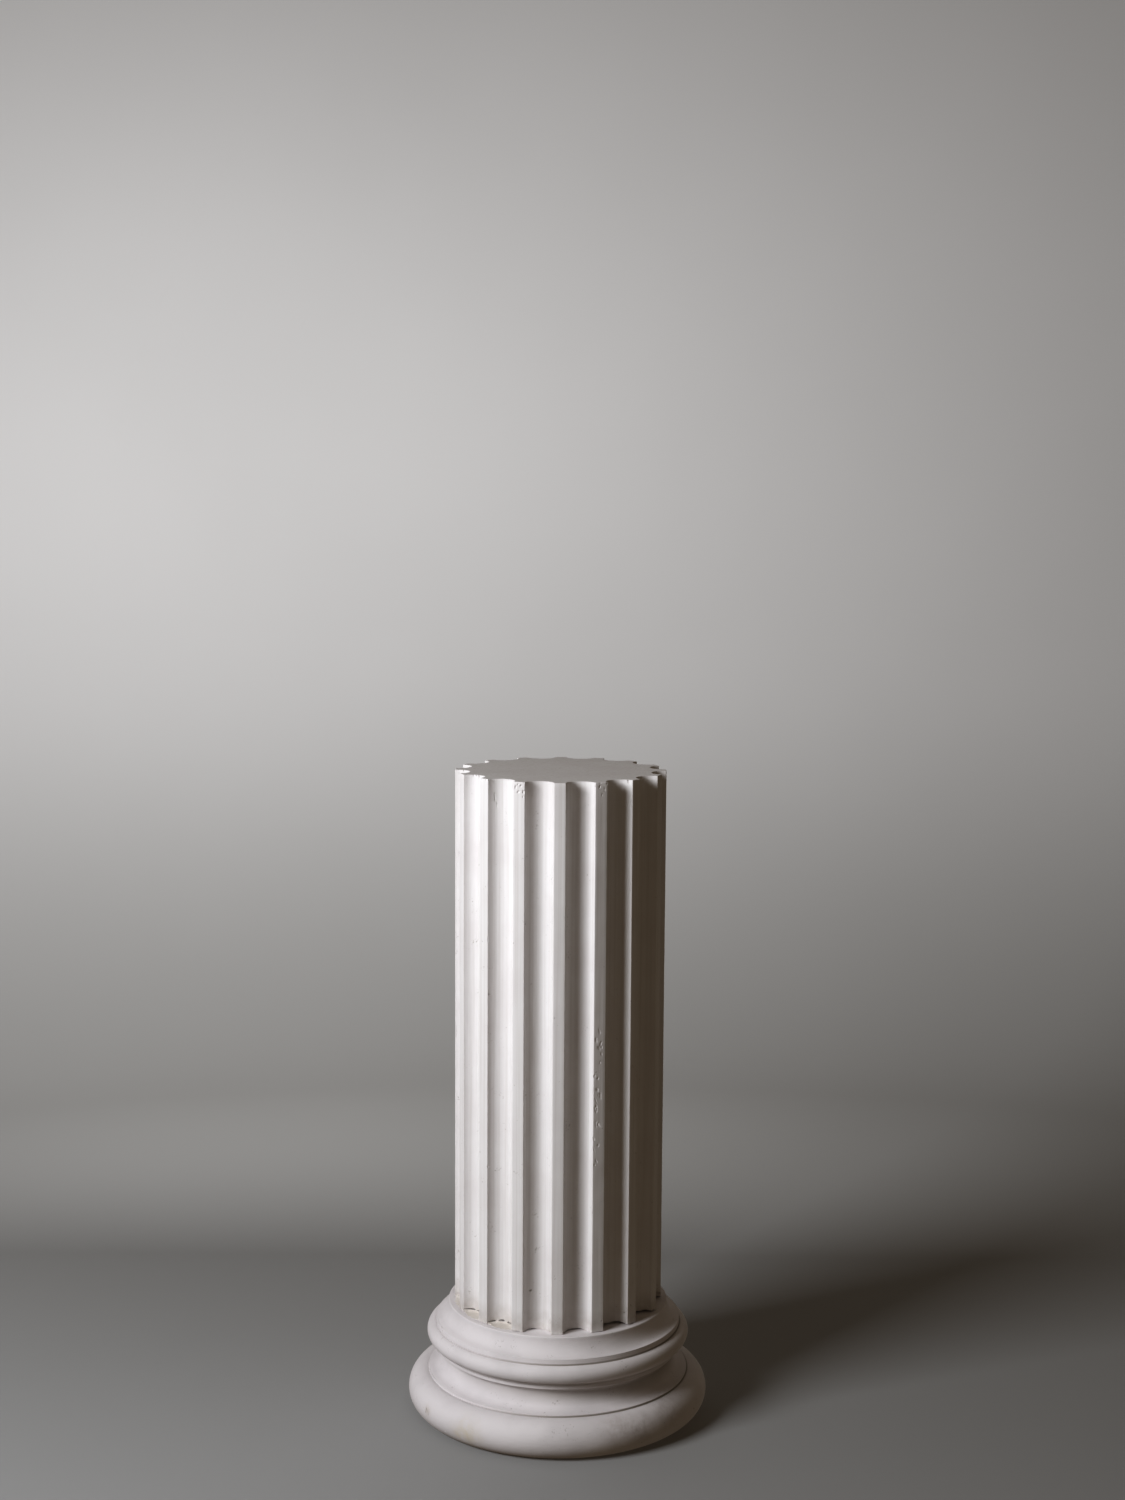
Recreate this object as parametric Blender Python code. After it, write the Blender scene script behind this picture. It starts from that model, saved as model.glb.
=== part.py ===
"""Fluted column pedestal: a straight fluted shaft standing on a turned, moulded base, both cast in plaster.

Metres, +Z up. The origin is on the column's axis, at the underside. A flat fillet faces -Y.
"""
import math

import bmesh
import bpy

# Shaft
SHAFT_RADIUS = 0.1225
SHAFT_HEIGHT = 0.6317
FLUTE_COUNT = 16
FILLET_WIDTH = 0.0144
FLUTE_DEPTH = 0.0154
FLUTE_SEGMENTS = 12

# Clearance between the two castings where the shaft stands on its seat
JOINT_GAP = 0.0003

# Base, from the seat down. Steps and spreads run outward from the shaft's surface.
SEAT_LEDGE = 0.0072
SEAT_EDGE_ROUND = 0.0012
CAVETTO_HEIGHT = 0.0185
CAVETTO_SPREAD = 0.0142
LIP_ROUND = 0.0008
UPPER_FILLET_HEIGHT = 0.0063
UPPER_TORUS_RADIUS = 0.0105
NECK_FILLET_HEIGHT = 0.0029
STEP_BACK = 0.0020
STEP_FILLET_HEIGHT = 0.0054
SCOTIA_DEPTH = 0.0070
SCOTIA_THROAT_HEIGHT = 0.0080
SCOTIA_SWEEP_HEIGHT = 0.0171
SCOTIA_SPREAD = 0.0107
LOWER_FILLET_HEIGHT = 0.0016
LOWER_TORUS_RADIUS = 0.0232

# Fineness of the base's turned surface
BASE_STEPS = 80
ROUND_SEGMENTS = 2
CAVETTO_SEGMENTS = 5
SCOTIA_SEGMENTS = 4
UPPER_TORUS_SEGMENTS = 8
LOWER_TORUS_SEGMENTS = 11

# Edges sharper than this stay crisp
CREASE_ANGLE = math.radians(32)
PLASTER_COLOUR = (0.78, 0.76, 0.74, 1.0)
BASE_COLOUR = (0.76, 0.74, 0.72, 1.0)
PLASTER_ROUGHNESS = 0.8


def clear_scene():
    """Remove what a new file starts with."""
    for obj in list(bpy.data.objects):
        bpy.data.objects.remove(obj, do_unlink=True)


def plaster(name, colour):
    """Cast plaster: a matt off-white."""
    material = bpy.data.materials.new(name)
    material.use_nodes = True
    shader = material.node_tree.nodes["Principled BSDF"]
    shader.inputs["Base Color"].default_value = colour
    shader.inputs["Roughness"].default_value = PLASTER_ROUGHNESS
    shader.inputs["Metallic"].default_value = 0.0
    return material


def add_object(name, bm, material):
    """Turn a finished bmesh into a smooth-shaded object with crisp arrises."""
    bmesh.ops.recalc_face_normals(bm, faces=bm.faces)
    mesh = bpy.data.meshes.new(name)
    bm.to_mesh(mesh)
    bm.free()
    mesh.shade_smooth()
    mesh.set_sharp_from_angle(angle=CREASE_ANGLE)
    mesh.materials.append(material)
    obj = bpy.data.objects.new(name, mesh)
    bpy.context.collection.objects.link(obj)
    return obj


def quarter(centre, width, height, start, segments):
    """Points along a quarter of an ellipse, anticlockwise from start degrees, in (radius, height)."""
    points = []
    for i in range(segments + 1):
        angle = math.radians(start + 90.0 * i / segments)
        points.append((centre[0] + width * math.cos(angle), centre[1] + height * math.sin(angle)))
    return points


def half_round(radius, base, size, segments):
    """Points up a torus moulding whose lowest point is (radius, base)."""
    points = []
    for i in range(segments + 1):
        angle = math.radians(-90.0 + 180.0 * i / segments)
        points.append((radius + size * math.cos(angle), base + size + size * math.sin(angle)))
    return points


def base_outline():
    """The base's profile in (radius, height), from the underside's centre up and in to the seat's centre."""
    seat_radius = SHAFT_RADIUS + SEAT_LEDGE
    fillet_radius = seat_radius + CAVETTO_SPREAD + LIP_ROUND
    step_radius = fillet_radius - STEP_BACK
    lip_radius = step_radius + SCOTIA_SPREAD + LIP_ROUND

    outline = [(0.0, 0.0)]
    outline += half_round(lip_radius, 0.0, LOWER_TORUS_RADIUS, LOWER_TORUS_SEGMENTS)

    # the scotia's lip: a low fillet, its arris, then the hollow curve in to the throat
    lip = 2 * LOWER_TORUS_RADIUS + LOWER_FILLET_HEIGHT
    outline += quarter((lip_radius - LIP_ROUND, lip), LIP_ROUND, LIP_ROUND, 0.0, ROUND_SEGMENTS)
    lip += LIP_ROUND
    throat = lip + SCOTIA_SWEEP_HEIGHT
    throat_radius = step_radius - SCOTIA_DEPTH
    sweep = quarter((lip_radius - LIP_ROUND, throat), lip_radius - LIP_ROUND - throat_radius,
                    SCOTIA_SWEEP_HEIGHT, 180.0, SCOTIA_SEGMENTS)
    outline += sweep[-2::-1]
    hood = quarter((step_radius, throat), SCOTIA_DEPTH, SCOTIA_THROAT_HEIGHT, 90.0, SCOTIA_SEGMENTS)
    outline += hood[-2::-1]

    # two small fillets step out under the upper torus
    step = throat + SCOTIA_THROAT_HEIGHT + STEP_FILLET_HEIGHT
    outline.append((step_radius, step))
    outline.append((fillet_radius, step))
    neck = step + NECK_FILLET_HEIGHT
    outline += half_round(fillet_radius, neck, UPPER_TORUS_RADIUS, UPPER_TORUS_SEGMENTS)

    # the fillet above it, its arris, the cavetto and the seat's rounded edge
    shelf = neck + 2 * UPPER_TORUS_RADIUS + UPPER_FILLET_HEIGHT
    outline += quarter((fillet_radius - LIP_ROUND, shelf), LIP_ROUND, LIP_ROUND, 0.0, ROUND_SEGMENTS)
    shelf += LIP_ROUND
    hollow = quarter((fillet_radius - LIP_ROUND, shelf + CAVETTO_HEIGHT), CAVETTO_SPREAD,
                     CAVETTO_HEIGHT, 180.0, CAVETTO_SEGMENTS)
    outline += hollow[-2::-1]
    edge = quarter((seat_radius - SEAT_EDGE_ROUND, shelf + CAVETTO_HEIGHT), SEAT_EDGE_ROUND,
                   SEAT_EDGE_ROUND, 0.0, ROUND_SEGMENTS)
    outline += edge[1:]
    outline.append((0.0, outline[-1][1]))
    return outline


def make_base():
    """Turn the profile about the column's axis."""
    bm = bmesh.new()
    ring = [bm.verts.new((radius, 0.0, height)) for radius, height in base_outline()]
    edges = [bm.edges.new(pair) for pair in zip(ring, ring[1:])]
    bmesh.ops.spin(bm, geom=ring + edges, cent=(0, 0, 0), axis=(0, 0, 1), angle=math.tau,
                   steps=BASE_STEPS, use_merge=True)
    bmesh.ops.remove_doubles(bm, verts=bm.verts, dist=0.00001)
    return add_object("moulded_base", bm, plaster("plaster_base", BASE_COLOUR))


def flute(middle, half_angle):
    """Points along one flute's arc, from arris to arris through its deepest line, anticlockwise."""
    half_width = SHAFT_RADIUS * math.sin(half_angle)
    mouth = SHAFT_RADIUS * math.cos(half_angle)
    rise = mouth - (SHAFT_RADIUS - FLUTE_DEPTH)
    radius = (half_width ** 2 + rise ** 2) / (2 * rise)
    centre = SHAFT_RADIUS - FLUTE_DEPTH + radius
    reach = math.atan2(half_width, centre - mouth)
    points = []
    for i in range(FLUTE_SEGMENTS + 1):
        swing = reach * (2 * i / FLUTE_SEGMENTS - 1)
        out = centre - radius * math.cos(swing)
        side = radius * math.sin(swing)
        points.append((out * math.cos(middle) - side * math.sin(middle),
                       out * math.sin(middle) + side * math.cos(middle)))
    return points


def make_shaft(seat_height):
    """Draw the fluted outline once round and raise it to the shaft's full height."""
    pitch = math.tau / FLUTE_COUNT
    half_angle = pitch / 2 - math.asin(FILLET_WIDTH / (2 * SHAFT_RADIUS))
    foot = seat_height + JOINT_GAP
    bm = bmesh.new()
    outline = []
    for i in range(FLUTE_COUNT):
        middle = -math.pi / 2 + pitch * (i + 0.5)
        outline += [bm.verts.new((x, y, foot)) for x, y in flute(middle, half_angle)]
    bottom = bm.faces.new(outline)
    raised = bmesh.ops.extrude_face_region(bm, geom=[bottom], use_keep_orig=True)
    top = [v for v in raised["geom"] if isinstance(v, bmesh.types.BMVert)]
    bmesh.ops.translate(bm, verts=top, vec=(0.0, 0.0, SHAFT_HEIGHT))
    return add_object("fluted_shaft", bm, plaster("plaster_shaft", PLASTER_COLOUR))


clear_scene()
make_base()
make_shaft(base_outline()[-1][1])
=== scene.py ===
import math
import random

import bmesh
import bpy
from mathutils import Matrix, Vector, noise
from mathutils.bvhtree import BVHTree


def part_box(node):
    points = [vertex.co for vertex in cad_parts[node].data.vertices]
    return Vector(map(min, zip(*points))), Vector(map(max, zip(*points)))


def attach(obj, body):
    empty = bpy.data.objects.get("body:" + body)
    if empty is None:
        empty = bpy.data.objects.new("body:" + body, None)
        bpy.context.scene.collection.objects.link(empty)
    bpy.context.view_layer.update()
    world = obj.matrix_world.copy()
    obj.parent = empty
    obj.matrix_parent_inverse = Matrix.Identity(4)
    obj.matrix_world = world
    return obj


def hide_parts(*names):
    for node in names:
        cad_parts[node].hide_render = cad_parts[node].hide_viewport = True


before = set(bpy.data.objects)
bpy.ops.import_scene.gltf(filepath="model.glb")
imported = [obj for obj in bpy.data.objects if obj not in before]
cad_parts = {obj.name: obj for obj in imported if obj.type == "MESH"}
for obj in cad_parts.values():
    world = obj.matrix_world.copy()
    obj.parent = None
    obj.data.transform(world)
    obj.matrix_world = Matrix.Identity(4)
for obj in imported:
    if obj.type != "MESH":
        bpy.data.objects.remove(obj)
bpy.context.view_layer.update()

# The fluted shaft: one plaster casting, straight, open at both ends of its flutes, with narrow flat
# fillets between them. The mould left its arrises softly rounded and its walls a little uneven, and air
# bubbles left pinholes. It stands on the base's seat by its own weight.
mm = 0.001
WELD = 0.01 * mm
FLUTE_COUNT = 16
FLUTE_PITCH = 360 / FLUTE_COUNT
FLUTE_DEPTH = 15.4 * mm
FLUTE_STEPS = 22
FILLET_WIDTH = 14.4 * mm
ARRIS_ROUND = 1.0 * mm
ARRIS_STEPS = 4
RIM_ROUND = 0.8 * mm
RIM_STEPS = 2
SHAFT_ROWS = 118
FILLET_CUTS = 3

# an upright edge sharper than the first angle, in degrees, gets a round arris, and any edge that is still
# sharper than the second one in the end stays crisp
ARRIS_ANGLE = 40
SHAFT_CRISP = 38

# the fillets that show in front stray a little from their even places, in degrees to the right, and two
# of them differ in width
FILLET_DRIFT = {-2: 0.1, -1: 0.25, 0: -0.3, 1: -0.7, 2: -0.7}
HIDDEN_DRIFT = 0.35
FILLET_WIDTHS = {0: 13.9 * mm, 1: 15.3 * mm}

shaft_low, shaft_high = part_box("fluted_shaft")
foot = shaft_low.z
top = shaft_high.z
shaft_radius = math.hypot(shaft_high.x, FILLET_WIDTH / 2)
chance = random.Random(16)

fillet_drift = {}
for count in range(-FLUTE_COUNT // 2, FLUTE_COUNT // 2):
    stray = chance.uniform(-HIDDEN_DRIFT, HIDDEN_DRIFT)
    fillet_drift[count] = FILLET_DRIFT.get(count, stray)


def place(angle, radius, height):
    """A point by degrees to the right of the front, distance from the column's axis, and height."""
    turn = math.radians(angle)
    return Vector((radius * math.sin(turn), -radius * math.cos(turn), height))


def fillet_arrises(index):
    """The angles of a fillet's left and right arris, counting fillets to the right from the front one."""
    count = (index + FLUTE_COUNT // 2) % FLUTE_COUNT - FLUTE_COUNT // 2
    middle = index * FLUTE_PITCH + fillet_drift[count]
    half = math.degrees(math.asin(FILLET_WIDTHS.get(count, FILLET_WIDTH) / 2 / shaft_radius))
    return middle - half, middle + half


def flute_arc(index):
    """The centre of the flute to the right of a fillet, its radius, and half the angle it sweeps."""
    left = fillet_arrises(index)[1]
    right = fillet_arrises(index + 1)[0]
    half_angle = math.radians(right - left) / 2
    half_width = shaft_radius * math.sin(half_angle)
    mouth = shaft_radius * math.cos(half_angle)
    rise = mouth - (shaft_radius - FLUTE_DEPTH)
    radius = (half_width ** 2 + rise ** 2) / (2 * rise)
    out = shaft_radius - FLUTE_DEPTH + radius
    return place((left + right) / 2, out, 0.0), radius, math.atan2(half_width, out - mouth)


def shaft_outline(bm):
    """Draw the fluted outline at the foot: each flute is a point swung round, each fillet a straight line."""
    pen = bm.verts.new(place(fillet_arrises(0)[1], shaft_radius, foot))
    for index in range(FLUTE_COUNT):
        centre, radius, reach = flute_arc(index)
        swung = bmesh.ops.spin(bm, geom=[pen], cent=centre, axis=(0, 0, 1), angle=-2 * reach,
                               steps=FLUTE_STEPS, use_merge=False)
        pen = next(item for item in swung["geom_last"] if isinstance(item, bmesh.types.BMVert))
        pen = bmesh.ops.extrude_vert_indiv(bm, verts=[pen])["verts"][0]
        pen.co = place(fillet_arrises(index + 1)[1], shaft_radius, foot)
    bmesh.ops.remove_doubles(bm, verts=bm.verts, dist=WELD)
    fillets = [edge for edge in bm.edges if edge.calc_length() > FILLET_WIDTH / 2]
    bmesh.ops.subdivide_edges(bm, edges=fillets, cuts=FILLET_CUTS)


def is_upright(edge):
    """True for an edge that runs most of the shaft's height."""
    return abs(edge.verts[0].co.z - edge.verts[1].co.z) > (top - foot) / 2


def raise_shaft(bm):
    """Close the outline, raise it, round its arrises and rim, and divide its height into rows."""
    bmesh.ops.contextual_create(bm, geom=bm.edges)
    raised = bmesh.ops.extrude_face_region(bm, geom=bm.faces, use_keep_orig=True)
    upper = [item for item in raised["geom"] if isinstance(item, bmesh.types.BMVert)]
    bmesh.ops.translate(bm, verts=upper, vec=(0.0, 0.0, top - foot))
    bmesh.ops.recalc_face_normals(bm, faces=bm.faces)
    arrises = [edge for edge in bm.edges
               if is_upright(edge) and edge.calc_face_angle() > math.radians(ARRIS_ANGLE)]
    bmesh.ops.bevel(bm, geom=arrises, offset=ARRIS_ROUND, offset_type="OFFSET", segments=ARRIS_STEPS,
                    profile=0.5, affect="EDGES", material=-1)
    rim = [edge for edge in bm.edges if min(vert.co.z for vert in edge.verts) > top - WELD]
    bmesh.ops.bevel(bm, geom=rim, offset=RIM_ROUND, offset_type="OFFSET", segments=RIM_STEPS,
                    profile=0.5, affect="EDGES", material=-1)
    uprights = [edge for edge in bm.edges if is_upright(edge)]
    bmesh.ops.subdivide_edges(bm, edges=uprights, cuts=SHAFT_ROWS, use_grid_fill=True)


# the lengths of the waves in the surface: left by the mould, and worn into the fillets and their arrises.
# The two ends stay flat.
MOULD_WAVE = 28 * mm
FILLET_WAVE = 9 * mm
FILLET_WEAR = 21 * mm
WORN_RIM = 2 * mm
FLAT_END = 0.1 * mm


def wear_shaft(bm):
    """Sink the surface by parts of a millimetre: slow upright waves, and fillets and arrises that waver."""
    bm.normal_update()
    for vert in bm.verts:
        if not foot + FLAT_END < vert.co.z < top - FLAT_END:
            continue
        drawn_out = Vector((vert.co.x, vert.co.y, vert.co.z / 3))
        sink = 0.10 + 0.04 * noise.noise(drawn_out / MOULD_WAVE)
        if math.hypot(vert.co.x, vert.co.y) > shaft_radius - WORN_RIM:
            sink += 0.10 + 0.10 * noise.noise(vert.co / FILLET_WAVE)
            sink += 0.25 * max(0.0, noise.noise(vert.co / FILLET_WEAR))
        vert.co -= vert.normal * sink * mm


def finish_mesh(name, bm, crisp):
    """Make an object of a bmesh, smooth except where faces meet at more than crisp degrees."""
    mesh = bpy.data.meshes.new(name)
    bm.to_mesh(mesh)
    bm.free()
    mesh.shade_smooth()
    mesh.set_sharp_from_angle(angle=math.radians(crisp))
    piece = bpy.data.objects.new(name, mesh)
    bpy.context.scene.collection.objects.link(piece)
    return piece


# how closely the lumps on a pebble stand, and how far its place shifts them, so that no two are alike
PEBBLE_LUMPS = 3.2
PEBBLE_SHIFT = 900


def pebble(bm, where, angle, size, lean=0.0, rough=0.35, detail=3):
    """A rough pebble to cut with: its width across the surface, depth and height, turned to face outward."""
    made = bmesh.ops.create_icosphere(bm, subdivisions=detail, radius=0.5)["verts"]
    for vert in made:
        vert.co *= 1 + rough * noise.noise(vert.co * PEBBLE_LUMPS + where * PEBBLE_SHIFT)
    bmesh.ops.scale(bm, verts=made, vec=size)
    bmesh.ops.rotate(bm, verts=made, cent=(0, 0, 0), matrix=Matrix.Rotation(math.radians(lean), 3, "Y"))
    bmesh.ops.rotate(bm, verts=made, cent=(0, 0, 0), matrix=Matrix.Rotation(math.radians(angle), 3, "Z"))
    bmesh.ops.translate(bm, verts=made, vec=where)


# a distance from the axis that is clear of the whole column
OUTSIDE = 0.3


def surface_at(tree, angle, height):
    """The point where a level line towards the column's axis meets the surface."""
    return tree.ray_cast(place(angle, OUTSIDE, height), -place(angle, 1.0, 0.0))[0]


# a slot thins to a small share of its height at each end, over a fifth of its length, and its edges wave
SLOT_END = 0.08
SLOT_TAPER = 5
SLOT_WAVE = 5 * mm
SLOT_STEPS_PER_DEGREE = 1.5
FEWEST_SLOT_STEPS = 6


def joint_slot(bm, start, end, low, high, inner, outer):
    """A ragged level slot between two angles and two radii, to cut with: it thins out at both ends."""
    corners = [(inner, low), (outer, low), (outer, high), (inner, high)]
    ring = [bm.verts.new(place(start, radius, height)) for radius, height in corners]
    section = bm.faces.new(ring)
    steps = max(FEWEST_SLOT_STEPS, int(abs(end - start) * SLOT_STEPS_PER_DEGREE))
    known = set(bm.verts) - set(ring)
    bmesh.ops.spin(bm, geom=[section] + list(section.edges) + ring, cent=(0, 0, 0), axis=(0, 0, 1),
                   angle=math.radians(end - start), steps=steps, use_merge=False)
    made = [vert for vert in bm.verts if vert not in known]
    # the open joint closes down onto the seat, and a slot higher up closes to its own middle
    pinch = low if low <= foot else (low + high) / 2
    for vert in made:
        angle = math.degrees(math.atan2(vert.co.x, -vert.co.y))
        along = (angle - start) / (end - start)
        taper = min(1.0, SLOT_TAPER * along, SLOT_TAPER * (1 - along))
        open_by = SLOT_END + taper * (0.75 + 0.5 * noise.noise(vert.co / SLOT_WAVE))
        vert.co.z = pinch + (vert.co.z - pinch) * open_by
    bmesh.ops.recalc_face_normals(bm, faces=list({face for vert in made for face in vert.link_faces}))


# a face counts as level when this much of its normal or more points up or down
LEVEL = 0.9999


def carve(piece, cutters, crisp):
    """Cut the pebbles and slots out of a piece and keep the result as its mesh."""
    mesh = bpy.data.meshes.new("cutters")
    cutters.to_mesh(mesh)
    tool = bpy.data.objects.new("cutters", mesh)
    bpy.context.scene.collection.objects.link(tool)
    cut = piece.modifiers.new("cut", "BOOLEAN")
    cut.operation = "DIFFERENCE"
    cut.solver = "EXACT"
    cut.use_self = True
    cut.object = tool
    graph = bpy.context.evaluated_depsgraph_get()
    carved = bpy.data.meshes.new_from_object(piece.evaluated_get(graph))
    piece.modifiers.clear()
    piece.data = carved
    bpy.data.objects.remove(tool)
    carved.shade_smooth()
    carved.set_sharp_from_angle(angle=math.radians(crisp))
    # a level face is dead flat, so it takes no slope from the rounded edge round it
    for face in carved.polygons:
        face.use_smooth = abs(face.normal.z) < LEVEL


bm = bmesh.new()
shaft_outline(bm)
raise_shaft(bm)
wear_shaft(bm)
shaft_surface = BVHTree.FromBMesh(bm)
shaft = finish_mesh("shaft_casting", bm, SHAFT_CRISP)

# pinholes: angle, height and width, the last one a broken hole low on the right
PINHOLES = [(-16.6, 176.3, 2.6), (24.1, 142.1, 2.2), (40.7, 144.7, 2.4), (-41.5, 516.6, 1.8),
            (-2.6, 497.8, 1.5), (18.4, 758.0, 1.6), (-41.6, 316.2, 2.2), (-46.0, 576.6, 1.4),
            (-86.3, 665.0, 1.6), (-67.3, 201.7, 1.5), (3.2, 306.1, 1.6), (86.5, 136.0, 5.0)]
HIDDEN_PINHOLES = 22
HIDDEN_PINHOLE_ANGLES = (95, 262)
HIDDEN_PINHOLE_WIDTHS = (1.3, 2.6)
PINHOLE_MARGIN = 10 * mm

# chips along the rim: angle, height, width across, depth and height of the piece lost. The surface that
# a chip is cut from is found a little below the rim.
RIM_CHIPS = [(-113.5, 761.5, 4.0, 3.0, 2.2), (-84.7, 761.6, 3.0, 2.5, 2.0), (-62.0, 761.4, 3.4, 2.6, 2.6),
             (-60.4, 761.8, 3.0, 2.0, 1.6), (-58.6, 761.2, 3.8, 2.4, 3.0), (-55.0, 761.8, 2.6, 2.0, 1.6),
             (-50.5, 761.9, 2.4, 1.6, 1.4), (-43.0, 761.2, 3.4, 2.4, 2.4), (-41.6, 760.4, 2.2, 1.8, 2.6),
             (-32.6, 761.6, 2.0, 1.8, 1.8), (-30.4, 761.8, 1.6, 1.4, 1.6), (-25.6, 760.8, 2.4, 1.6, 2.2),
             (-19.2, 761.6, 2.4, 1.4, 1.8), (-6.0, 761.8, 2.6, 1.2, 1.2), (3.1, 761.0, 2.0, 1.6, 2.6),
             (21.0, 761.6, 3.0, 1.4, 1.8), (24.8, 760.6, 3.4, 1.6, 3.4), (40.4, 760.0, 3.0, 2.4, 5.5),
             (47.0, 761.4, 3.4, 2.0, 2.0)]
BELOW_RIM = 1.2
HIDDEN_RIM_CHIPS = 16
HIDDEN_RIM_ANGLES = (75, 250)

# shallow broken patches: at the top of the fillets on either side of the front one, and a scrape down
# the wall of a flute. Angle, height, width across, depth and height of the piece lost, and its lean.
FACE_CHIPS = [(-24.2, 756.0, 3.0, 2.2, 5.0, 10), (-22.6, 750.5, 4.2, 1.8, 3.2, -30),
              (-21.2, 757.5, 3.0, 1.9, 4.4, 25), (-19.8, 751.0, 3.2, 2.2, 5.0, -10),
              (-22.9, 759.0, 2.6, 1.8, 2.4, 0), (-20.2, 745.5, 2.0, 1.6, 3.0, 15),
              (20.6, 757.0, 2.6, 2.0, 5.4, 8), (23.4, 754.5, 2.2, 1.8, 6.0, -8),
              (22.0, 748.5, 1.6, 1.6, 5.0, 4), (-40.4, 741.0, 1.6, 1.2, 17.0, -6),
              (-39.6, 733.0, 1.4, 1.0, 9.0, -12)]

# the front fillet's right arris is nibbled near the top, and others here and there: the same values as
# for a chip in the rim. Fillets are counted to the right from the front one.
ARRIS_CHIPS = [(3.1, 757.0, 1.6, 1.5, 5.0), (3.1, 749.5, 1.4, 1.3, 6.5), (3.1, 741.5, 1.3, 1.2, 5.0),
               (3.1, 729.0, 1.2, 1.1, 8.0), (25.4, 402.0, 1.4, 1.2, 16.0), (25.4, 336.0, 1.5, 1.2, 11.0),
               (25.4, 301.0, 1.3, 1.2, 14.0), (18.4, 412.0, 1.3, 1.2, 9.0), (18.4, 270.0, 1.3, 1.1, 7.0),
               (40.9, 735.0, 1.6, 1.4, 9.0), (40.9, 640.0, 1.2, 1.2, 12.0), (-25.7, 300.0, 1.2, 1.0, 10.0),
               (-41.7, 580.0, 1.2, 1.1, 8.0), (-3.5, 214.0, 1.2, 1.1, 7.0)]
HIDDEN_ARRIS_CHIPS = 26
HIDDEN_FILLETS = (4, 13)
ARRIS_CHIP_MARGIN = 15 * mm

# the fillet to the right of the front one is scraped rough below its middle: how many scrapes, the angles
# and heights that they lie between, and their least and greatest width, depth, height and lean
SCRAPES = 26
SCRAPED_ANGLES = (18.6, 23.0)
SCRAPED_HEIGHTS = (325, 490)
SCRAPE_WIDTHS = (1.6, 3.4)
SCRAPE_DEPTHS = (0.5, 1.0)
SCRAPE_LENGTHS = (3.0, 9.0)
SCRAPE_LEANS = (-25, 25)


def pinhole(bm, where, angle, width):
    """A round hole, as deep as it is wide, to cut with."""
    pebble(bm, where, angle, Vector((width, 2 * width, width)) * mm, rough=0.2, detail=2)


cutters = bmesh.new()
for angle, height, width in PINHOLES:
    pinhole(cutters, surface_at(shaft_surface, angle, height * mm), angle, width)
for angle, height, width, depth, tall in RIM_CHIPS + ARRIS_CHIPS:
    where = surface_at(shaft_surface, angle, min(height, top / mm - BELOW_RIM) * mm)
    where.z = height * mm
    pebble(cutters, where, angle, Vector((width, depth, tall)) * mm)
for angle, height, width, depth, tall, lean in FACE_CHIPS:
    where = surface_at(shaft_surface, angle, height * mm)
    pebble(cutters, where, angle, Vector((width, depth, tall)) * mm, lean=lean)
for _ in range(SCRAPES):
    angle = chance.uniform(*SCRAPED_ANGLES)
    where = surface_at(shaft_surface, angle, chance.uniform(*SCRAPED_HEIGHTS) * mm)
    size = Vector([chance.uniform(*span) for span in (SCRAPE_WIDTHS, SCRAPE_DEPTHS, SCRAPE_LENGTHS)]) * mm
    pebble(cutters, where, angle, size, lean=chance.uniform(*SCRAPE_LEANS))
for _ in range(HIDDEN_PINHOLES):
    angle = chance.uniform(*HIDDEN_PINHOLE_ANGLES)
    where = surface_at(shaft_surface, angle, chance.uniform(foot + PINHOLE_MARGIN, top - PINHOLE_MARGIN))
    pinhole(cutters, where, angle, chance.uniform(*HIDDEN_PINHOLE_WIDTHS))
for _ in range(HIDDEN_RIM_CHIPS):
    angle = chance.uniform(*HIDDEN_RIM_ANGLES)
    where = surface_at(shaft_surface, angle, top - BELOW_RIM * mm)
    where.z = top - chance.uniform(0.2, 1.0) * mm
    size = Vector((chance.uniform(1.8, 4.0), chance.uniform(1.4, 2.6), chance.uniform(1.4, 3.0))) * mm
    pebble(cutters, where, angle, size)
for _ in range(HIDDEN_ARRIS_CHIPS):
    angle = chance.choice(fillet_arrises(chance.randrange(*HIDDEN_FILLETS)))
    height = chance.uniform(foot + ARRIS_CHIP_MARGIN, top - ARRIS_CHIP_MARGIN)
    where = surface_at(shaft_surface, angle, height)
    pebble(cutters, where, angle, Vector((1.3, 1.2, chance.uniform(4, 14))) * mm)

# the joint stands open under the flutes on the right and behind, and a hair's breadth to the left of the
# front: start and end angle, and height. It runs in under the flutes between the two radii.
OPEN_JOINTS = [(3.0, 16.9, 1.5), (19.0, 26.0, 0.8), (26.4, 42.4, 2.8), (42.6, 48.4, 1.3), (48.8, 69.5, 3.2),
               (71.0, 92.0, 3.0), (98.0, 131.0, 2.0), (150.0, 171.0, 1.2), (193.0, 224.0, 1.8),
               (-26.0, -18.4, 0.7), (-18.9, -12.5, 0.9)]
OPEN_JOINT_RADII = (97 * mm, 124 * mm)
BELOW_FOOT = 0.5 * mm
for start, end, height in OPEN_JOINTS:
    joint_slot(cutters, start, end, foot - BELOW_FOOT, foot + height * mm, *OPEN_JOINT_RADII)

# slots left in the joint's filling on the left: start and end angle, lowest and highest point. They are
# cut into the shaft's foot between two radii.
FILLER_SLOTS = [(-64.6, -60.6, 132.0, 134.2), (-59.8, -54.4, 131.4, 133.4), (-41.8, -39.4, 131.4, 133.4),
                (-38.4, -34.4, 131.8, 134.4), (-32.8, -28.6, 131.2, 133.6)]
SHAFT_SLOT_RADII = (103 * mm, 123 * mm)
for start, end, low, high in FILLER_SLOTS:
    joint_slot(cutters, start, end, low * mm, high * mm, *SHAFT_SLOT_RADII)
carve(shaft, cutters, SHAFT_CRISP)
cutters.free()


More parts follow.
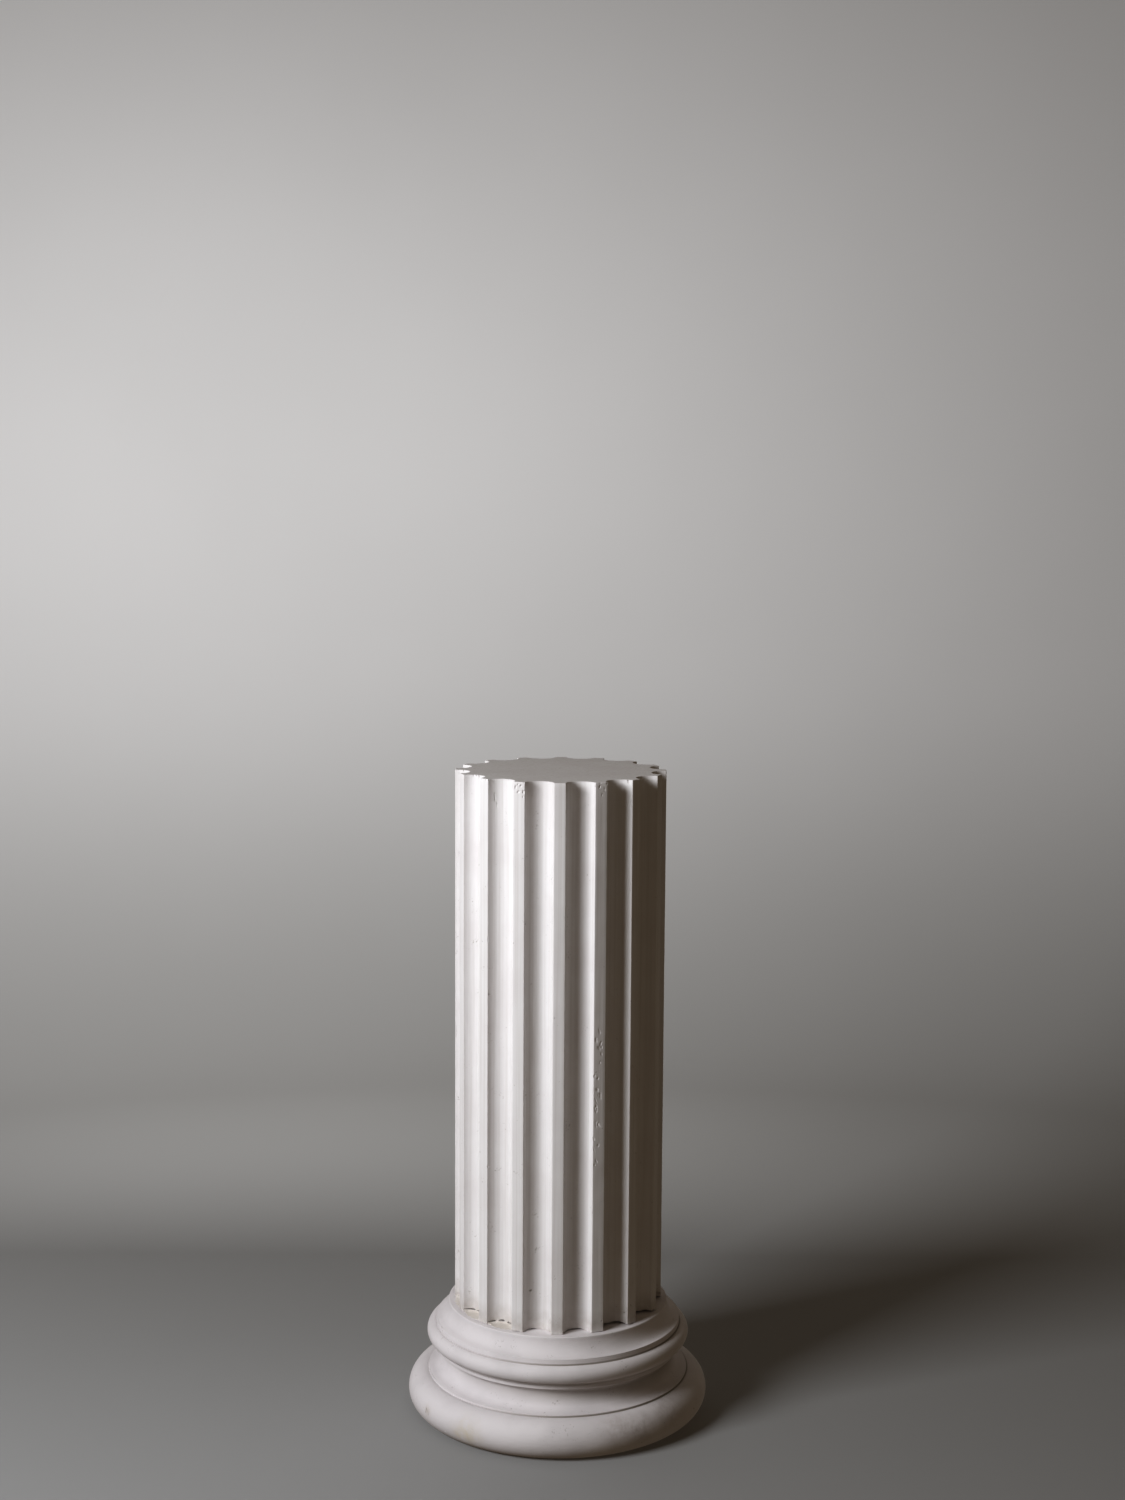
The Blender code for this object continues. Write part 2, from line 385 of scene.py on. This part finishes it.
def linear(colour):
    """An sRGB hex colour as linear red, green, blue and alpha."""
    channels = [int(colour[start:start + 2], 16) / 255 for start in (1, 3, 5)]
    return [c / 12.92 if c <= 0.04045 else ((c + 0.055) / 1.055) ** 2.4 for c in channels] + [1.0]


def add(tree, kind, links=None, **settings):
    """Add a node: its settings, then values or links for its sockets by name or number. Gives its output."""
    made = tree.nodes.new(kind)
    for name, value in settings.items():
        setattr(made, name, value)
    live = {socket.name: socket for socket in made.inputs if socket.enabled}
    for key, value in (links or {}).items():
        socket = made.inputs[key] if isinstance(key, int) else live[key]
        if isinstance(value, bpy.types.NodeSocket):
            tree.links.new(value, socket)
        else:
            socket.default_value = value
    return next(socket for socket in made.outputs if socket.enabled)


def cast_plaster(name, clean, dull, speck, draw):
    """Cast gypsum plaster, unpainted and handled: matt, off-white, mottled, with dust in its pores.

    Its ripples are drawn out by the given scale along each axis, as the mould was run or turned.
    """
    material = bpy.data.materials.new(name)
    material.use_nodes = True
    tree = material.node_tree
    where = add(tree, "ShaderNodeTexCoord").node.outputs["Object"]
    # damp and handling leave soft clouds about 50 mm across
    clouds = add(tree, "ShaderNodeTexNoise", {"Vector": where, "Scale": 1 / (50 * mm), "Detail": 4.0})
    cloudy = add(tree, "ShaderNodeMapRange", {"Value": clouds, "From Min": 0.42, "From Max": 0.68})
    colour = add(tree, "ShaderNodeMix", {"Factor": cloudy, "A": linear(clean), "B": linear(dull)},
                 data_type="RGBA")
    # dust lies in pores a millimetre or two wide; the real ones are finer
    pores = add(tree, "ShaderNodeTexNoise", {"Vector": where, "Scale": 1 / (2.2 * mm), "Detail": 2.0})
    sparse = add(tree, "ShaderNodeTexNoise", {"Vector": where, "Scale": 1 / (18 * mm), "Detail": 2.0})
    both = add(tree, "ShaderNodeMath", {0: pores, 1: sparse}, operation="MULTIPLY")
    dusty = add(tree, "ShaderNodeMapRange", {"Value": both, "From Min": 0.40, "From Max": 0.52,
                                             "To Max": 0.5})
    colour = add(tree, "ShaderNodeMix", {"Factor": dusty, "A": colour, "B": linear(speck)}, data_type="RGBA")
    # rubbed plaster: a grain, coarser than the real one so that it shows, over ripples 4 mm wide
    grain = add(tree, "ShaderNodeTexNoise", {"Vector": where, "Scale": 1 / (1.4 * mm), "Detail": 3.0})
    drawn = add(tree, "ShaderNodeMapping", {"Vector": where, "Scale": draw})
    ripple = add(tree, "ShaderNodeTexNoise", {"Vector": drawn, "Scale": 1 / (4 * mm), "Detail": 3.0})
    rippled = add(tree, "ShaderNodeBump", {"Strength": 0.6, "Distance": 0.30 * mm, "Height": ripple})
    grained = add(tree, "ShaderNodeBump", {"Strength": 0.6, "Distance": 0.10 * mm, "Height": grain,
                                           "Normal": rippled})
    shader = tree.nodes["Principled BSDF"]
    shader.inputs["Roughness"].default_value = 0.85
    shader.inputs["IOR"].default_value = 1.52
    shader.inputs["Specular IOR Level"].default_value = 0.35
    tree.links.new(grained, shader.inputs["Normal"])
    return material, tree, where, colour


# how far up from the foot the grime fades out
GRIME_HEIGHT = 26 * mm


def shaft_plaster():
    """The shaft's plaster: faint upright streaks 3 mm wide down the flutes, and grime at the foot."""
    material, tree, where, colour = cast_plaster("cast_gypsum_shaft", "#F2F0F0", "#EEEBEB", "#A39B93",
                                                 (1.0, 1.0, 0.04))
    drawn_out = add(tree, "ShaderNodeMapping", {"Vector": where, "Scale": (1.0, 1.0, 0.01)})
    streaks = add(tree, "ShaderNodeTexNoise", {"Vector": drawn_out, "Scale": 1 / (3 * mm), "Detail": 3.0})
    streaky = add(tree, "ShaderNodeMapRange", {"Value": streaks, "From Min": 0.45, "From Max": 0.75,
                                               "To Max": 0.5})
    colour = add(tree, "ShaderNodeMix", {"Factor": streaky, "A": colour, "B": linear("#DEDAD7")},
                 data_type="RGBA")
    height = add(tree, "ShaderNodeSeparateXYZ", {"Vector": where}).node.outputs["Z"]
    low = add(tree, "ShaderNodeMapRange", {"Value": height, "From Min": foot + GRIME_HEIGHT,
                                           "From Max": foot})
    smear = add(tree, "ShaderNodeTexNoise", {"Vector": where, "Scale": 1 / (9 * mm), "Detail": 3.0})
    grimy = add(tree, "ShaderNodeMath", {0: low, 1: smear}, operation="MULTIPLY")
    colour = add(tree, "ShaderNodeMix", {"Factor": grimy, "A": colour, "B": linear("#B9B1A9")},
                 data_type="RGBA")
    tree.links.new(colour, tree.nodes["Principled BSDF"].inputs["Base Color"])
    return material


shaft.data.materials.append(shaft_plaster())
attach(shaft, "root")
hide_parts("fluted_shaft")

# The moulded base: one plaster casting, turned about the column's axis in the mould's making. From the top
# it has a flat seat, a cavetto, a fillet, the upper torus, two small steps, a scotia and its lip, and the
# lower torus, which rests on the floor by its own weight.
SEAT_LEDGE = 7.2 * mm
SEAT_EDGE_ROUND = 1.2 * mm
CAVETTO_HEIGHT = 18.5 * mm
CAVETTO_SPREAD = 14.2 * mm
LIP_ROUND = 0.8 * mm
UPPER_FILLET_HEIGHT = 6.3 * mm
UPPER_TORUS_RADIUS = 10.5 * mm
NECK_FILLET_HEIGHT = 2.9 * mm
STEP_BACK = 2.0 * mm
STEP_FILLET_HEIGHT = 5.4 * mm
SCOTIA_DEPTH = 7.0 * mm
SCOTIA_THROAT_HEIGHT = 8.0 * mm
SCOTIA_SWEEP_HEIGHT = 17.1 * mm
LOWER_FILLET_HEIGHT = 1.6 * mm
LOWER_TORUS_RADIUS = 23.2 * mm
CORNER_ROUND = 0.35 * mm

# into how many steps the turned surface and each part of its profile are divided
BASE_STEPS = 240
SEAT_STEPS = 16
ROUND_STEPS = 3
CAVETTO_STEPS = 20
UPPER_FILLET_STEPS = 12
UPPER_TORUS_STEPS = 26
SCOTIA_HOOD_STEPS = 10
SCOTIA_SWEEP_STEPS = 18
LOWER_TORUS_STEPS = 42

# an edge sharper than this, in degrees, stays crisp, and has a small round corner where it stands out
BASE_CRISP = 50

base_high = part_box("moulded_base")[1]
seat = base_high.z
seat_radius = shaft_radius + SEAT_LEDGE
fillet_radius = seat_radius + CAVETTO_SPREAD + LIP_ROUND
step_radius = fillet_radius - STEP_BACK
throat_radius = step_radius - SCOTIA_DEPTH
lip_radius = base_high.x - LOWER_TORUS_RADIUS
fillet_top = seat - SEAT_EDGE_ROUND - CAVETTO_HEIGHT
fillet_foot = fillet_top - LIP_ROUND - UPPER_FILLET_HEIGHT
step_top = fillet_foot - 2 * UPPER_TORUS_RADIUS - NECK_FILLET_HEIGHT
lip_foot = 2 * LOWER_TORUS_RADIUS
lip_top = lip_foot + LOWER_FILLET_HEIGHT + LIP_ROUND


def draw_line(bm, pen, radius, height, steps=1):
    """Draw the profile on from the pen in a straight line."""
    start = pen.co.copy()
    for step in range(steps):
        pen = bmesh.ops.extrude_vert_indiv(bm, verts=[pen])["verts"][0]
        pen.co = start.lerp(Vector((radius, 0.0, height)), (step + 1) / steps)
    return pen


def draw_curve(bm, pen, radius, height, turn, steps, stretch=(1.0, 1.0)):
    """Swing the pen about a centre, in degrees anticlockwise, and stretch the arc sideways or upwards."""
    known = set(bm.verts)
    centre = Vector((radius, 0.0, height))
    swung = bmesh.ops.spin(bm, geom=[pen], cent=centre, axis=(0, -1, 0), angle=math.radians(turn),
                           steps=steps, use_merge=False)
    made = [vert for vert in bm.verts if vert not in known]
    bmesh.ops.scale(bm, verts=made, vec=(stretch[0], 1.0, stretch[1]), space=Matrix.Translation(-centre))
    return next(item for item in swung["geom_last"] if isinstance(item, bmesh.types.BMVert))


def base_profile(bm):
    """Draw the base's profile, from the middle of the seat out, down the mouldings and in underneath."""
    pen = bm.verts.new((0.0, 0.0, seat))
    pen = draw_line(bm, pen, seat_radius - SEAT_EDGE_ROUND, seat, steps=SEAT_STEPS)
    pen = draw_curve(bm, pen, pen.co.x, seat - SEAT_EDGE_ROUND, -90, ROUND_STEPS)
    pen = draw_curve(bm, pen, seat_radius + CAVETTO_SPREAD, pen.co.z, 90, CAVETTO_STEPS,
                     stretch=(1.0, CAVETTO_HEIGHT / CAVETTO_SPREAD))
    pen = draw_curve(bm, pen, pen.co.x, pen.co.z - LIP_ROUND, -90, ROUND_STEPS)
    pen = draw_line(bm, pen, fillet_radius, pen.co.z - UPPER_FILLET_HEIGHT, steps=UPPER_FILLET_STEPS)
    pen = draw_curve(bm, pen, fillet_radius, pen.co.z - UPPER_TORUS_RADIUS, -180, UPPER_TORUS_STEPS)
    pen = draw_line(bm, pen, fillet_radius, pen.co.z - NECK_FILLET_HEIGHT, steps=2)
    pen = draw_line(bm, pen, step_radius, pen.co.z)
    pen = draw_line(bm, pen, step_radius, pen.co.z - STEP_FILLET_HEIGHT, steps=3)
    pen = draw_curve(bm, pen, step_radius, pen.co.z - SCOTIA_THROAT_HEIGHT, 90, SCOTIA_HOOD_STEPS,
                     stretch=(SCOTIA_DEPTH / SCOTIA_THROAT_HEIGHT, 1.0))
    sweep_width = lip_radius - LIP_ROUND - throat_radius
    pen = draw_curve(bm, pen, lip_radius - LIP_ROUND, pen.co.z, 90, SCOTIA_SWEEP_STEPS,
                     stretch=(1.0, SCOTIA_SWEEP_HEIGHT / sweep_width))
    pen = draw_curve(bm, pen, pen.co.x, pen.co.z - LIP_ROUND, -90, ROUND_STEPS)
    pen = draw_line(bm, pen, lip_radius, pen.co.z - LOWER_FILLET_HEIGHT)
    pen = draw_curve(bm, pen, lip_radius, pen.co.z / 2, -180, LOWER_TORUS_STEPS)
    draw_line(bm, pen, 0.0, 0.0, steps=4)


# the lengths of the waves that turning and handling left, and how far rubbing reaches from an edge. The
# rubbing and the scores on the upper fillet are each deepest at one angle and fade over another.
TURNED_WAVE = 38 * mm
HANDLED_WAVE = 9 * mm
EDGE_RUB = 4.0 * mm
RUBBED_ANGLE = -75
RUBBED_SPREAD = 75
SCORED_ANGLE = 45
SCORED_SPREAD = 32

# the scores' spacing in millimetres, and the degrees round the base in which they climb by a radian
SCORE_SPACING = 2.1
SCORE_CLIMB = 9


def wear_base(bm):
    """Sink the surface by parts of a millimetre, rub its edges, and score the upper fillet where tooled."""
    bm.normal_update()
    edges = [(fillet_radius, fillet_top), (lip_radius, lip_top)]
    for vert in bm.verts:
        if not FLAT_END <= vert.co.z <= seat - FLAT_END:
            continue
        sink = 0.12 + 0.10 * noise.noise(vert.co / TURNED_WAVE) + 0.04 * noise.noise(vert.co / HANDLED_WAVE)
        angle = math.degrees(math.atan2(vert.co.x, -vert.co.y))
        out = vert.co.xy.length
        # the edges below the seat are rubbed down on the left and crisp on the right
        rubbed = 0.15 + max(0.0, 1 - abs(angle - RUBBED_ANGLE) / RUBBED_SPREAD)
        for radius, height in edges:
            sink += rubbed * max(0.0, 1 - math.dist((out, vert.co.z), (radius, height)) / EDGE_RUB)
        below = fillet_top - vert.co.z
        if 0 < below < UPPER_FILLET_HEIGHT and out < fillet_radius + 0.3 * mm:
            scored = 0.05 + 0.35 * max(0.0, 1 - abs(angle - SCORED_ANGLE) / SCORED_SPREAD)
            wave = math.sin(below / mm * math.tau / SCORE_SPACING + angle / SCORE_CLIMB)
            sink += scored * (0.5 + 0.5 * wave)
        vert.co -= vert.normal * sink * mm


bm = bmesh.new()
base_profile(bm)
bmesh.ops.spin(bm, geom=bm.verts[:] + bm.edges[:], cent=(0, 0, 0), axis=(0, 0, 1), angle=math.tau,
               steps=BASE_STEPS, use_merge=True)
bmesh.ops.remove_doubles(bm, verts=bm.verts, dist=WELD)
bmesh.ops.recalc_face_normals(bm, faces=bm.faces)
corners = [edge for edge in bm.edges if edge.is_convex and edge.calc_face_angle() > math.radians(BASE_CRISP)]
bmesh.ops.bevel(bm, geom=corners, offset=CORNER_ROUND, offset_type="OFFSET", segments=2, profile=0.5,
                affect="EDGES", material=-1)
wear_base(bm)
base_surface = BVHTree.FromBMesh(bm)
base = finish_mesh("base_casting", bm, BASE_CRISP)

# knocks: a slit low on the left with scratches beside it, and small pits. Angle, height, width across,
# depth and height of the piece lost, and its lean.
KNOCKS = [(-58.8, 26.4, 1.0, 2.6, 6.5, 6), (-57.6, 27.5, 0.7, 0.9, 6.0, -8),
          (-56.9, 25.0, 0.6, 0.8, 5.0, 14), (-81.5, 40.5, 2.0, 1.4, 2.6, 20),
          (-70.5, 42.9, 1.8, 1.2, 1.6, 0), (-47.0, 14.0, 2.2, 1.0, 1.2, 30),
          (-66.0, 96.0, 1.4, 1.2, 1.4, 0), (12.0, 34.0, 1.6, 1.0, 1.2, 0), (33.0, 60.5, 1.4, 1.0, 1.2, 0),
          (112.0, 30.0, 3.4, 2.0, 4.2, 30), (158.0, 48.2, 4.0, 1.6, 1.6, 0),
          (205.0, 92.0, 3.0, 1.4, 1.6, 10), (231.0, 22.0, 1.2, 1.8, 7.0, -14),
          (140.0, 112.0, 1.8, 1.4, 1.8, 0), (188.0, 20.0, 2.2, 1.6, 2.2, 0)]

# marks on the seat: angle, distance from the axis and width, and the depth that all of them share
SEAT_MARKS = [(-6.1, 114.1, 2.4), (-14.6, 123.6, 1.6), (-11.8, 124.6, 1.8), (-9.8, 121.6, 1.2),
              (-93.0, 121.0, 2.2)]
SEAT_MARK_HEIGHT = 1.6
cutters = bmesh.new()
for angle, height, width, depth, tall, lean in KNOCKS:
    where = surface_at(base_surface, angle, height * mm)
    pebble(cutters, where, angle, Vector((width, depth, tall)) * mm, lean=lean)
for angle, radius, width in SEAT_MARKS:
    size = Vector((width, width * 0.6, SEAT_MARK_HEIGHT)) * mm
    pebble(cutters, place(angle, radius * mm, seat), angle, size)
carve(base, cutters, BASE_CRISP)
cutters.free()


def base_plaster():
    """The base's plaster: a shade darker than the shaft's; dust and painted shade lie in its mouldings'
    corners.

    It is scuffed brown low on the right and yellowed low on the left, and painted shade darkens its left end.
    """
    material, tree, where, colour = cast_plaster("cast_gypsum_base", "#ECE8E9", "#E3DFE0", "#948B82",
                                                 (0.4, 0.4, 1.0))
    # dust has settled in the corners where one moulding meets the next, and painted shade darkens those
    # corners and the scotia's hollow, heavier on the shaded right and least of all on the left: radius and
    # height of each line of dust and painted shade, how far it spreads, and its strength
    dust_and_shade_lines = [(fillet_radius, fillet_foot, 2, 0.75), (fillet_radius, step_top, 2, 0.2),
                  (step_radius, step_top, 2, 0.3), (lip_radius, lip_foot, 2, 0.75),
                  (throat_radius, lip_top + SCOTIA_SWEEP_HEIGHT, 14, 0.45)]
    level = add(tree, "ShaderNodeVectorMath", {0: where, 1: (1.0, 1.0, 0.0)}, operation="MULTIPLY")
    out = add(tree, "ShaderNodeVectorMath", {0: level}, operation="LENGTH")
    parts = add(tree, "ShaderNodeSeparateXYZ", {"Vector": where}).node.outputs
    profile = add(tree, "ShaderNodeCombineXYZ", {"X": out, "Z": parts["Z"]})
    # painted shade weighting: full on the shaded right, down to 0.15 on the lit left
    shaded_side_weight = add(tree, "ShaderNodeMapRange", {"Value": parts["X"], "From Min": -120 * mm,
                                                 "From Max": 10 * mm, "To Min": 0.15})
    for radius, corner, reach, strength in dust_and_shade_lines:
        distance = add(tree, "ShaderNodeVectorMath", {0: profile, 1: (radius, 0.0, corner)},
                       operation="DISTANCE")
        near = add(tree, "ShaderNodeMapRange", {"Value": distance, "From Min": reach * mm,
                                                "From Max": 0.3 * mm, "To Max": strength})
        # each line darkens the colour with dust and painted shade
        dusty = add(tree, "ShaderNodeMath", {0: near, 1: shaded_side_weight}, operation="MULTIPLY")
        colour = add(tree, "ShaderNodeMix", {"Factor": dusty, "A": colour, "B": linear("#857B6C")},
                     data_type="RGBA")
    # painted shade darkens the left side, more and more towards its end
    painted_shade_left = add(tree, "ShaderNodeMapRange", {"Value": parts["X"], "From Min": -10 * mm,
                                               "From Max": -130 * mm, "To Max": 0.25},
                  interpolation_type="SMOOTHSTEP")
    colour = add(tree, "ShaderNodeMix", {"Factor": painted_shade_left, "A": colour, "B": linear("#C4BFC1")},
                 data_type="RGBA")
    # scuffs and stains: angle, height and radius where they lie, width, colour and strength
    stains = [(24, 36, 172, 30, "#A3948A", 0.50), (33, 30, 176, 26, "#8F8178", 0.55),
              (48, 38, 170, 34, "#9A8C82", 0.45), (-36, 16, 174, 34, "#D8CDB4", 0.60),
              (-58, 27, 178, 12, "#C9BFB4", 0.50), (120, 24, 176, 40, "#A3978C", 0.40),
              (200, 40, 172, 46, "#ADA298", 0.35), (-110, 20, 176, 30, "#B4A99D", 0.35)]
    breakup = add(tree, "ShaderNodeTexNoise", {"Vector": where, "Scale": 1 / (14 * mm), "Detail": 4.0,
                                               "Roughness": 0.65})
    patchy = add(tree, "ShaderNodeMapRange", {"Value": breakup, "From Min": 0.35, "From Max": 0.70})
    for angle, height, radius, width, tint, strength in stains:
        centre = place(angle, radius * mm, height * mm)
        distance = add(tree, "ShaderNodeVectorMath", {0: where, 1: centre}, operation="DISTANCE")
        near = add(tree, "ShaderNodeMapRange", {"Value": distance, "From Min": width * mm, "From Max": 0.0,
                                                "To Max": strength}, interpolation_type="SMOOTHSTEP")
        factor = add(tree, "ShaderNodeMath", {0: near, 1: patchy}, operation="MULTIPLY")
        colour = add(tree, "ShaderNodeMix", {"Factor": factor, "A": colour, "B": linear(tint)},
                     data_type="RGBA")
    tree.links.new(colour, tree.nodes["Principled BSDF"].inputs["Base Color"])
    return material


base.data.materials.append(base_plaster())
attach(base, "root")
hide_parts("moulded_base")

# Filler in the joint: cream plaster pressed in under the flutes on the left with a finger, so it runs up
# the shaft's wall, feathers out over the seat and has set with slots where it shrank.
FILLED_FLUTES = [-5, -4, -3, -2]
FILLER_REACH = 0.92
FILLER_WAVE = 6 * mm
FILLER_STEPS = 40
FILLER_CRISP = 60
CRUMB_FACES = 30

# the filler's section, in millimetres: out past the flute's wall, and up from the seat
FILLER_SECTION = [(0.4, 3.4), (-0.3, 3.1), (-1.0, 1.8), (-3.0, 0.9), (-6.0, 0.6), (-10.0, 0.4), (-14.5, 0.15),
                  (-14.5, -0.2), (0.4, -0.2)]


def joint_filler(bm):
    """Press a smear of filler along most of each filled flute's wall and feather it out over the seat."""
    for index in FILLED_FLUTES:
        centre, radius, reach = flute_arc(index)
        inward = -centre.xy.normalized().to_3d()
        start = Matrix.Rotation(FILLER_REACH * reach, 3, "Z") @ inward
        ring = []
        for out, height in FILLER_SECTION:
            point = centre + start * (radius + out * mm)
            point.z = seat + height * mm
            ring.append(bm.verts.new(point))
        section = bm.faces.new(ring)
        bmesh.ops.spin(bm, geom=[section] + list(section.edges) + ring, cent=centre, axis=(0, 0, 1),
                       angle=-2 * FILLER_REACH * reach, steps=FILLER_STEPS, use_merge=False)
    bmesh.ops.recalc_face_normals(bm, faces=bm.faces)
    for vert in bm.verts:
        above = vert.co.z - seat
        if above > 0:
            vert.co.z = seat + above * (0.75 + 0.8 * noise.noise(vert.co / FILLER_WAVE))


def drop_crumbs(piece):
    """Delete the crumbs that a slot has cut loose, each of only a few faces."""
    bm = bmesh.new()
    bm.from_mesh(piece.data)
    unseen = set(bm.faces)
    while unseen:
        island = [unseen.pop()]
        for face in island:
            for edge in face.edges:
                linked = unseen.intersection(edge.link_faces)
                unseen -= linked
                island += linked
        if len(island) < CRUMB_FACES:
            bmesh.ops.delete(bm, geom=island, context="FACES")
    bm.to_mesh(piece.data)
    bm.free()


bm = bmesh.new()
joint_filler(bm)
filler = finish_mesh("joint_filler", bm, FILLER_CRISP)
FILLER_SLOT_RADII = (104 * mm, 123 * mm)
cutters = bmesh.new()
for start, end, low, high in FILLER_SLOTS:
    joint_slot(cutters, start, end, low * mm, high * mm, *FILLER_SLOT_RADII)
carve(filler, cutters, FILLER_CRISP)
cutters.free()
drop_crumbs(filler)


def filler_plaster():
    """Filler: the same gypsum, a creamier batch, smeared smooth."""
    material, tree, _, colour = cast_plaster("gypsum_filler", "#E0DCD7", "#D7D1CA", "#978D81",
                                             (1.0, 1.0, 1.0))
    tree.links.new(colour, tree.nodes["Principled BSDF"].inputs["Base Color"])
    return material


filler.data.materials.append(filler_plaster())
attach(filler, "root")

# The studio: a round bowl of pale paper, its floor level and its wall swept up behind, with nothing else
# in it. The column stands on its floor, forward of the wall.
BOWL_CENTRE = Vector((0.0, -1.3, 0.0))
BOWL_RADIUS = 3.5
BOWL_SWEEP = 0.8
BOWL_HEIGHT = 3.2
BOWL_STEPS = 96
SWEEP_STEPS = 16
BOWL_WELD = 0.1 * mm
BOWL_CRISP = 80
CLOUD_WIDTH = 0.6

bm = bmesh.new()
pen = bm.verts.new(BOWL_CENTRE)
pen = bmesh.ops.extrude_vert_indiv(bm, verts=[pen])["verts"][0]
pen.co = BOWL_CENTRE + Vector((BOWL_RADIUS - BOWL_SWEEP, 0.0, 0.0))
swept = bmesh.ops.spin(bm, geom=[pen], cent=pen.co + Vector((0.0, 0.0, BOWL_SWEEP)), axis=(0, -1, 0),
                       angle=math.pi / 2, steps=SWEEP_STEPS, use_merge=False)
pen = next(item for item in swept["geom_last"] if isinstance(item, bmesh.types.BMVert))
pen = bmesh.ops.extrude_vert_indiv(bm, verts=[pen])["verts"][0]
pen.co.z = BOWL_HEIGHT
bmesh.ops.spin(bm, geom=bm.verts[:] + bm.edges[:], cent=BOWL_CENTRE, axis=(0, 0, 1), angle=math.tau,
               steps=BOWL_STEPS, use_merge=True)
bmesh.ops.remove_doubles(bm, verts=bm.verts, dist=BOWL_WELD)
bmesh.ops.recalc_face_normals(bm, faces=bm.faces)
# the paper faces the column, so its floor looks up
if min(bm.faces, key=lambda face: face.calc_center_median().z).normal.z < 0:
    bmesh.ops.reverse_faces(bm, faces=bm.faces)
floor = finish_mesh("floor", bm, BOWL_CRISP)


def backdrop_paper():
    """Matt studio paper: pale grey, with painted light making it paler up the wall, and the faintest
    unevenness.
    """
    material = bpy.data.materials.new("backdrop_paper")
    material.use_nodes = True
    tree = material.node_tree
    where = add(tree, "ShaderNodeTexCoord").node.outputs["Object"]
    height = add(tree, "ShaderNodeSeparateXYZ", {"Vector": where}).node.outputs["Z"]
    # painted light: the paper grows paler up the sweep, as if the wall were lit more than the floor
    painted_wall_light = add(tree, "ShaderNodeMapRange", {"Value": height, "From Max": BOWL_SWEEP},
                 interpolation_type="SMOOTHSTEP")
    colour = add(tree, "ShaderNodeMix", {"Factor": painted_wall_light, "A": linear("#B2B2B2"), "B": linear("#D0D0D1")},
                 data_type="RGBA")
    clouds = add(tree, "ShaderNodeTexNoise", {"Vector": where, "Scale": 1 / CLOUD_WIDTH, "Detail": 3.0})
    faint = add(tree, "ShaderNodeMath", {0: clouds, 1: 0.12}, operation="MULTIPLY")
    colour = add(tree, "ShaderNodeMix", {"Factor": faint, "A": colour, "B": linear("#8E8E8C")},
                 data_type="RGBA")
    shader = tree.nodes["Principled BSDF"]
    tree.links.new(colour, shader.inputs["Base Color"])
    shader.inputs["Roughness"].default_value = 0.95
    shader.inputs["Specular IOR Level"].default_value = 0.2
    return material


floor.data.materials.append(backdrop_paper())
floor.visible_diffuse = False
floor.visible_shadow = False

# Light: one soft panel in front and to the left, above the column and tipped down to its top, a weaker one
# behind the column that faces the wall alone, and a dim warm glow all round, paler behind.
KEY_ANGLE = -51
KEY_DISTANCE = 2.2
KEY_HEIGHT = 1.45
KEY_AIM = 0.8
KEY_SIZE = (1.0, 0.75)
KEY_POWER = 56
WALL_PANEL = (-0.5, 0.5, 1.15)
WALL_PANEL_AIM = (-0.5, 2.2, 1.15)
WALL_PANEL_SIZE = (1.4, 0.6)
WALL_PANEL_POWER = 22
GLOW = "#61574A"
GLOW_BEHIND = "#BBB9B5"
CONTRAST = 1.35


def panel(name, where, towards, size, power, colour):
    """A soft rectangular light, which the camera doesn't see."""
    light = bpy.data.lights.new(name, "AREA")
    light.shape = "RECTANGLE"
    light.size = size[0]
    light.size_y = size[1]
    light.energy = power
    light.color = linear(colour)[:3]
    holder = bpy.data.objects.new(name, light)
    holder.location = where
    holder.rotation_euler = (Vector(towards) - Vector(where)).to_track_quat("-Z", "Y").to_euler()
    holder.visible_camera = False
    bpy.context.scene.collection.objects.link(holder)


panel("key_panel", place(KEY_ANGLE, KEY_DISTANCE, KEY_HEIGHT), (0.0, 0.0, KEY_AIM), KEY_SIZE, KEY_POWER,
      "#F8FBFF")
panel("wall_panel", WALL_PANEL, WALL_PANEL_AIM, WALL_PANEL_SIZE, WALL_PANEL_POWER, "#FFFFFF")
world = bpy.data.worlds.new("glow")
world.use_nodes = True
sky = world.node_tree
direction = add(sky, "ShaderNodeTexCoord").node.outputs["Generated"]
backward = add(sky, "ShaderNodeSeparateXYZ", {"Vector": direction}).node.outputs["Y"]
behind = add(sky, "ShaderNodeMapRange", {"Value": backward, "From Min": 0.6},
             interpolation_type="SMOOTHSTEP")
glow = add(sky, "ShaderNodeMix", {"Factor": behind, "A": linear(GLOW), "B": linear(GLOW_BEHIND)},
           data_type="RGBA")
sky.links.new(glow, sky.nodes["Background"].inputs["Color"])
bpy.context.scene.world = world
bpy.context.scene.view_settings.view_transform = "Standard"
bpy.context.scene.view_settings.gamma = 1 / CONTRAST

# Camera: about 2.5 m in front of the column at chest height, pitched down a little, and leaning by a third
# of a degree as the photograph does.
CAMERA_DISTANCE = 2.4978
CAMERA_HEIGHT = 1.0759
CAMERA_PITCH = 6.65
CAMERA_LEAN = 0.34
FOCAL_PIXELS = 2174
PHOTO_LONG_SIDE = 1500
SENSOR_WIDTH = 36

camera = bpy.data.objects.new("camera", bpy.data.cameras.new("camera"))
camera.data.sensor_width = SENSOR_WIDTH
camera.data.lens = FOCAL_PIXELS * SENSOR_WIDTH / PHOTO_LONG_SIDE
camera.matrix_world = (Matrix.Translation((0.0, -CAMERA_DISTANCE, CAMERA_HEIGHT))
                       @ Matrix.Rotation(math.radians(-CAMERA_LEAN), 4, "Y")
                       @ Matrix.Rotation(math.radians(90 - CAMERA_PITCH), 4, "X"))
bpy.context.scene.collection.objects.link(camera)
bpy.context.scene.camera = camera
